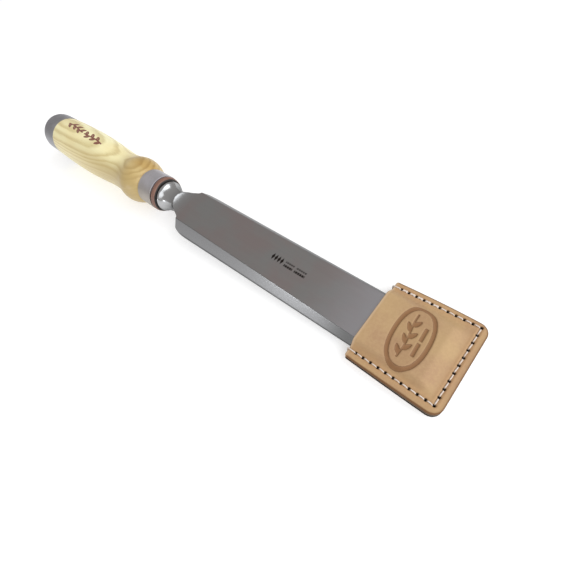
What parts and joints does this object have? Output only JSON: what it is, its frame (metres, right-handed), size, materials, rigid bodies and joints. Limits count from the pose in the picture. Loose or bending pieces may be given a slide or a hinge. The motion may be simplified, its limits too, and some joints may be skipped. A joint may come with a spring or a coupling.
{
  "type": "bench chisel",
  "caption": "Bevel-edged tanged chisel with a turned ash handle, steel hoop and ferrule, leather washer and a stitched leather guard that slides off the cutting edge.",
  "frame": {"origin": "centre of the flat striking face at the butt of the handle, on the handle's axis", "axes": "+X runs along the handle's axis to the cutting edge, +Z points out of the bevelled side of the blade, +Y completes a right-handed frame across the blade"},
  "size_m": [0.3786, 0.0567, 0.0344],
  "materials": {
    "blade_steel": "finely ground along its length, neck and bolster polished",
    "hoop_steel": "satin, slightly blued",
    "ferrule_steel": "satin",
    "ash_wood": "pale straight-grained ash, lightly lacquered",
    "washer_leather": "dense red-brown leather, smooth edge",
    "guard_leather": "undyed vegetable-tanned leather, smooth grain side out, burnished edges",
    "waxed_thread": "waxed linen thread"
  },
  "bodies": {
    "chisel": {"blade": "blade_steel", "handle": "ash_wood", "striking_hoop": "hoop_steel", "ferrule": "ferrule_steel", "leather_washer": "washer_leather"},
    "guard": {"guard_front": "guard_leather", "guard_back": "guard_leather", "guard_welt": "guard_leather", "stitching_thread": "waxed_thread"}
  },
  "joints": [
    {"name": "guard_pull_off", "type": "slide", "parent": "chisel", "child": "guard", "axis": [1, 0, 0], "range_m": [0, 0.055]}
  ]
}
